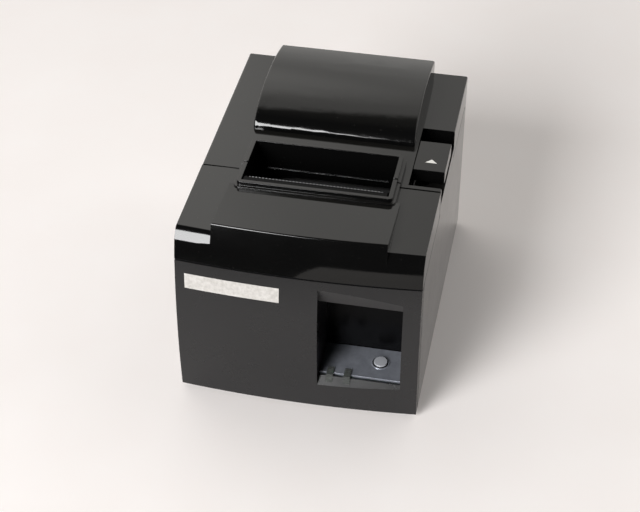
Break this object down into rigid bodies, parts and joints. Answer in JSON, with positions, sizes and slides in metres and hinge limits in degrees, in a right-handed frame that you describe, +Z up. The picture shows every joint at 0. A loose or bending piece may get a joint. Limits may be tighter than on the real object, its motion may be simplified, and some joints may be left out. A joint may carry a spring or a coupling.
{
  "type": "receipt printer",
  "caption": "Compact desktop thermal receipt printer: clamshell lid over a drop-in roll bay, paper recess, side release lever and a front control niche.",
  "frame": {"origin": "centre of the footprint on the table, under the feet", "axes": "+Z up, front with the control niche faces -Y, +X to the right seen from the front"},
  "size_m": [0.142, 0.1981, 0.132],
  "materials": {
    "case_black": "fine satin moulded texture",
    "cover_black": "satin gloss moulding",
    "front_grey": "fine matt moulded texture",
    "plate_silver": "silver lacquer",
    "clear_pipe": "clear polished",
    "button_grey": "satin",
    "nameplate_silver": "brushed foil, bare",
    "steel": "zinc plated",
    "blade_steel": "ground",
    "sink_aluminium": "extruded",
    "head_ceramic": "glazed",
    "platen_rubber": "ground rubber",
    "foot_rubber": "moulded rubber",
    "gear_white": "moulded acetal",
    "board_green": "solder mask",
    "motor_steel": "plated can",
    "supply_steel": "plated sheet",
    "socket_black": "moulded",
    "bush_bronze": "sintered"
  },
  "bodies": {
    "body": {"base_tray": "case_black", "case_shell": "case_black", "front_panel": "front_grey", "nameplate": "nameplate_silver", "hinge_pins": "steel", "roll_bay": "case_black", "mechanism_frame": "steel", "frame_screws": "steel", "head_pivot": "steel", "cutter_bed": "steel", "cutter_motor": "motor_steel", "feed_motor": "motor_steel", "control_plate": "plate_silver", "power_light_pipe": "clear_pipe", "error_light_pipe": "clear_pipe", "control_board": "board_green", "power_inlet": "socket_black", "drawer_socket": "socket_black", "data_socket": "socket_black", "power_switch": "socket_black", "main_board": "board_green", "power_supply": "supply_steel", "roll_end_sensor": "socket_black", "rubber_feet": "foot_rubber"},
    "rear_cover": {"rear_cover": "cover_black", "platen_bushes": "bush_bronze", "fixed_blade": "blade_steel"},
    "platen": {"platen_shaft": "steel", "platen_rubber": "platen_rubber", "platen_gear": "gear_white"},
    "front_cover": {"front_cover": "cover_black", "tear_bar": "blade_steel"},
    "open_lever": {"open_lever": "cover_black", "latch_shaft": "steel", "latch_hooks": "steel"},
    "print_head": {"print_head": "head_ceramic", "head_sink": "sink_aluminium"},
    "feed_button": {"feed_button": "button_grey"},
    "power_rocker": {"power_rocker": "socket_black"},
    "motor_pinion": {"motor_pinion": "gear_white"},
    "idler_gear": {"idler_gear": "gear_white"},
    "cutter_blade": {"cutter_blade": "blade_steel"}
  },
  "joints": [
    {"name": "cover_hinge", "type": "hinge", "parent": "body", "child": "rear_cover", "pos_m": [0, 0.096, 0.09795], "axis": [-1, 0, 0], "range_deg": [0, 80]},
    {"name": "platen_spin", "type": "hinge", "parent": "rear_cover", "child": "platen", "pos_m": [0, 0.009, 0.086], "axis": [1, 0, 0], "continuous": true},
    {"name": "idler_spin", "type": "hinge", "parent": "body", "child": "idler_gear", "pos_m": [-0.055, -0.00374, 0.05867], "axis": [1, 0, 0], "continuous": true},
    {"name": "motor_spin", "type": "hinge", "parent": "body", "child": "motor_pinion", "pos_m": [-0.055, -0.01395, 0.03679], "axis": [1, 0, 0], "continuous": true},
    {"name": "lever_press", "type": "hinge", "parent": "body", "child": "open_lever", "pos_m": [0.058, 0.006, 0.062], "axis": [-1, 0, 0], "range_deg": [0, 10], "stiffness_Nm_per_rad": 0.6},
    {"name": "head_swing", "type": "hinge", "parent": "body", "child": "print_head", "pos_m": [0, 0.00385, 0.07032], "axis": [1, 0, 0], "range_deg": [0, 3], "stiffness_Nm_per_rad": 4},
    {"name": "cutter_slide", "type": "slide", "parent": "body", "child": "cutter_blade", "axis": [0, 1, 0], "range_m": [0, 0.009]},
    {"name": "button_press", "type": "slide", "parent": "body", "child": "feed_button", "axis": [0, 0.0698, -0.9976], "range_m": [0, 0.001], "stiffness_N_per_m": 600},
    {"name": "switch_rock", "type": "hinge", "parent": "body", "child": "power_rocker", "pos_m": [-0.0665, -0.068, 0.036], "axis": [0, 1, 0], "range_deg": [-8, 8]},
    {"name": "front_cover_slide", "type": "slide", "parent": "body", "child": "front_cover", "axis": [0, -1, 0], "range_m": [0, 0.06]}
  ],
  "couplings": [
    {"joint": "idler_spin", "follows": "platen_spin", "ratio": -0.66667},
    {"joint": "motor_spin", "follows": "platen_spin", "ratio": 2}
  ]
}
